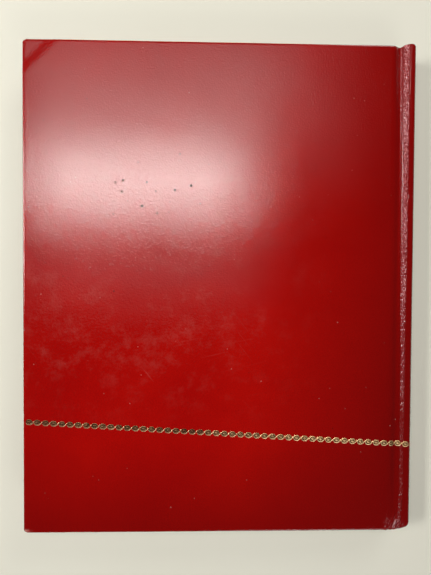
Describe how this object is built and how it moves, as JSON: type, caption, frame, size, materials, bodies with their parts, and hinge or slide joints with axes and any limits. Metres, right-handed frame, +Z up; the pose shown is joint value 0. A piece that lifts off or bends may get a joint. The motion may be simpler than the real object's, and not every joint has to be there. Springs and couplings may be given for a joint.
{
  "type": "stamp_album",
  "caption": "Closed hardback stamp album in glossy red leatherette with a gold chain line, black leaves with clear pocket strips and glassine sheets",
  "frame": {"origin": "centre of the footprint, on the table", "axes": "+X toward the spine, +Y toward the head, +Z up through the closed album"},
  "size_m": [0.2454, 0.3064, 0.0199],
  "materials": {
    "covering": "glossy fine-grained leatherette",
    "board": "matt grey board",
    "endpaper": "matt white paper",
    "foil": "hot-stamped gold foil",
    "wire": "drawn steel wire",
    "cloth": "woven black linen",
    "leaf_card": "matt black card",
    "film": "clear glossy film",
    "glassine": "translucent glassine"
  },
  "bodies": {
    "front_cover": {"front_covering": "covering", "front_board": "board", "front_pastedown": "endpaper", "front_chain": "foil"},
    "spine": {"spine_covering": "covering", "spine_card": "board", "spine_chain": "foil", "guard_stubs": "board", "guard_staples": "wire", "spine_lining": "cloth"},
    "back_cover": {"back_covering": "covering", "back_board": "board", "back_pastedown": "endpaper", "back_chain": "foil"},
    "hinge_1": {"leaf_1_linen": "cloth"},
    "leaf_1": {"leaf_1_card": "leaf_card", "leaf_1_strips": "film"},
    "hinge_2": {"leaf_2_linen": "cloth"},
    "leaf_2": {"leaf_2_card": "leaf_card", "leaf_2_strips": "film"},
    "hinge_3": {"leaf_3_linen": "cloth"},
    "leaf_3": {"leaf_3_card": "leaf_card", "leaf_3_strips": "film"},
    "hinge_4": {"leaf_4_linen": "cloth"},
    "leaf_4": {"leaf_4_card": "leaf_card", "leaf_4_strips": "film"},
    "hinge_5": {"leaf_5_linen": "cloth"},
    "leaf_5": {"leaf_5_card": "leaf_card", "leaf_5_strips": "film"},
    "hinge_6": {"leaf_6_linen": "cloth"},
    "leaf_6": {"leaf_6_card": "leaf_card", "leaf_6_strips": "film"},
    "hinge_7": {"leaf_7_linen": "cloth"},
    "leaf_7": {"leaf_7_card": "leaf_card", "leaf_7_strips": "film"},
    "hinge_8": {"leaf_8_linen": "cloth"},
    "leaf_8": {"leaf_8_card": "leaf_card", "leaf_8_strips": "film"},
    "interleaf_1": {"interleaf_1": "glassine"},
    "interleaf_2": {"interleaf_2": "glassine"},
    "interleaf_3": {"interleaf_3": "glassine"},
    "interleaf_4": {"interleaf_4": "glassine"},
    "interleaf_5": {"interleaf_5": "glassine"},
    "interleaf_6": {"interleaf_6": "glassine"},
    "interleaf_7": {"interleaf_7": "glassine"}
  },
  "joints": [
    {"name": "front_hinge", "type": "hinge", "parent": "front_cover", "child": "spine", "pos_m": [0.1123, 0, 0.00325], "axis": [0, 1, 0], "range_deg": [0, 90]},
    {"name": "back_hinge", "type": "hinge", "parent": "spine", "child": "back_cover", "pos_m": [0.1123, 0, 0.01667], "axis": [0, 1, 0], "range_deg": [0, 90]},
    {"name": "stub_fold_1", "type": "hinge", "parent": "spine", "child": "hinge_1", "pos_m": [0.1103, 0, 0.00457], "axis": [0, 1, 0], "range_deg": [-94, 0]},
    {"name": "leaf_fold_1", "type": "hinge", "parent": "hinge_1", "child": "leaf_1", "pos_m": [0.0983, 0, 0.00457], "axis": [0, 1, 0], "range_deg": [0, 4.3]},
    {"name": "stub_fold_2", "type": "hinge", "parent": "spine", "child": "hinge_2", "pos_m": [0.1103, 0, 0.00611], "axis": [0, 1, 0], "range_deg": [-73, 0]},
    {"name": "leaf_fold_2", "type": "hinge", "parent": "hinge_2", "child": "leaf_2", "pos_m": [0.0983, 0, 0.00611], "axis": [0, 1, 0], "range_deg": [-16.4, 0]},
    {"name": "stub_fold_3", "type": "hinge", "parent": "spine", "child": "hinge_3", "pos_m": [0.1103, 0, 0.00765], "axis": [0, 1, 0], "range_deg": [-64.5, 0]},
    {"name": "leaf_fold_3", "type": "hinge", "parent": "hinge_3", "child": "leaf_3", "pos_m": [0.0983, 0, 0.00765], "axis": [0, 1, 0], "range_deg": [-24, 0]},
    {"name": "stub_fold_4", "type": "hinge", "parent": "spine", "child": "hinge_4", "pos_m": [0.1103, 0, 0.00919], "axis": [0, 1, 0], "range_deg": [-55.5, 0]},
    {"name": "leaf_fold_4", "type": "hinge", "parent": "hinge_4", "child": "leaf_4", "pos_m": [0.0983, 0, 0.00919], "axis": [0, 1, 0], "range_deg": [-32.1, 0]},
    {"name": "stub_fold_5", "type": "hinge", "parent": "spine", "child": "hinge_5", "pos_m": [0.1103, 0, 0.01073], "axis": [0, 1, 0], "range_deg": [0, 55.5]},
    {"name": "leaf_fold_5", "type": "hinge", "parent": "hinge_5", "child": "leaf_5", "pos_m": [0.0983, 0, 0.01073], "axis": [0, 1, 0], "range_deg": [0, 32.1]},
    {"name": "stub_fold_6", "type": "hinge", "parent": "spine", "child": "hinge_6", "pos_m": [0.1103, 0, 0.01227], "axis": [0, 1, 0], "range_deg": [0, 64.5]},
    {"name": "leaf_fold_6", "type": "hinge", "parent": "hinge_6", "child": "leaf_6", "pos_m": [0.0983, 0, 0.01227], "axis": [0, 1, 0], "range_deg": [0, 24]},
    {"name": "stub_fold_7", "type": "hinge", "parent": "spine", "child": "hinge_7", "pos_m": [0.1103, 0, 0.01381], "axis": [0, 1, 0], "range_deg": [0, 73]},
    {"name": "leaf_fold_7", "type": "hinge", "parent": "hinge_7", "child": "leaf_7", "pos_m": [0.0983, 0, 0.01381], "axis": [0, 1, 0], "range_deg": [0, 16.4]},
    {"name": "stub_fold_8", "type": "hinge", "parent": "spine", "child": "hinge_8", "pos_m": [0.1103, 0, 0.01535], "axis": [0, 1, 0], "range_deg": [0, 94]},
    {"name": "leaf_fold_8", "type": "hinge", "parent": "hinge_8", "child": "leaf_8", "pos_m": [0.0983, 0, 0.01535], "axis": [0, 1, 0], "range_deg": [-4.3, 0]},
    {"name": "interleaf_fold_1", "type": "hinge", "parent": "hinge_1", "child": "interleaf_1", "pos_m": [0.0983, 0, 0.00457], "axis": [0, 1, 0], "range_deg": [0, 4.8]},
    {"name": "interleaf_fold_2", "type": "hinge", "parent": "hinge_2", "child": "interleaf_2", "pos_m": [0.0983, 0, 0.00611], "axis": [0, 1, 0], "range_deg": [-15.8, 0]},
    {"name": "interleaf_fold_3", "type": "hinge", "parent": "hinge_3", "child": "interleaf_3", "pos_m": [0.0983, 0, 0.00765], "axis": [0, 1, 0], "range_deg": [-23.4, 0]},
    {"name": "interleaf_fold_4", "type": "hinge", "parent": "hinge_4", "child": "interleaf_4", "pos_m": [0.0983, 0, 0.00919], "axis": [0, 1, 0], "range_deg": [0, 0.5]},
    {"name": "interleaf_fold_5", "type": "hinge", "parent": "hinge_6", "child": "interleaf_5", "pos_m": [0.0983, 0, 0.01227], "axis": [0, 1, 0], "range_deg": [0, 23.4]},
    {"name": "interleaf_fold_6", "type": "hinge", "parent": "hinge_7", "child": "interleaf_6", "pos_m": [0.0983, 0, 0.01381], "axis": [0, 1, 0], "range_deg": [0, 15.8]},
    {"name": "interleaf_fold_7", "type": "hinge", "parent": "hinge_8", "child": "interleaf_7", "pos_m": [0.0983, 0, 0.01535], "axis": [0, 1, 0], "range_deg": [-4.8, 0]}
  ],
  "couplings": [
    {"joint": "stub_fold_1", "follows": "front_hinge", "ratio": -1.0444},
    {"joint": "leaf_fold_1", "follows": "front_hinge", "ratio": 0.047778},
    {"joint": "stub_fold_2", "follows": "front_hinge", "ratio": -0.81111},
    {"joint": "leaf_fold_2", "follows": "front_hinge", "ratio": -0.18222},
    {"joint": "stub_fold_3", "follows": "front_hinge", "ratio": -0.71667},
    {"joint": "leaf_fold_3", "follows": "front_hinge", "ratio": -0.26667},
    {"joint": "stub_fold_4", "follows": "front_hinge", "ratio": -0.61667},
    {"joint": "leaf_fold_4", "follows": "front_hinge", "ratio": -0.35667},
    {"joint": "stub_fold_5", "follows": "back_hinge", "ratio": 0.61667},
    {"joint": "leaf_fold_5", "follows": "back_hinge", "ratio": 0.35667},
    {"joint": "stub_fold_6", "follows": "back_hinge", "ratio": 0.71667},
    {"joint": "leaf_fold_6", "follows": "back_hinge", "ratio": 0.26667},
    {"joint": "stub_fold_7", "follows": "back_hinge", "ratio": 0.81111},
    {"joint": "leaf_fold_7", "follows": "back_hinge", "ratio": 0.18222},
    {"joint": "stub_fold_8", "follows": "back_hinge", "ratio": 1.0444},
    {"joint": "leaf_fold_8", "follows": "back_hinge", "ratio": -0.047778},
    {"joint": "interleaf_fold_1", "follows": "front_hinge", "ratio": 0.053333},
    {"joint": "interleaf_fold_2", "follows": "front_hinge", "ratio": -0.17556},
    {"joint": "interleaf_fold_3", "follows": "front_hinge", "ratio": -0.26},
    {"joint": "interleaf_fold_4", "follows": "front_hinge", "ratio": 0.0055556},
    {"joint": "interleaf_fold_5", "follows": "back_hinge", "ratio": 0.26},
    {"joint": "interleaf_fold_6", "follows": "back_hinge", "ratio": 0.17556},
    {"joint": "interleaf_fold_7", "follows": "back_hinge", "ratio": -0.053333}
  ]
}
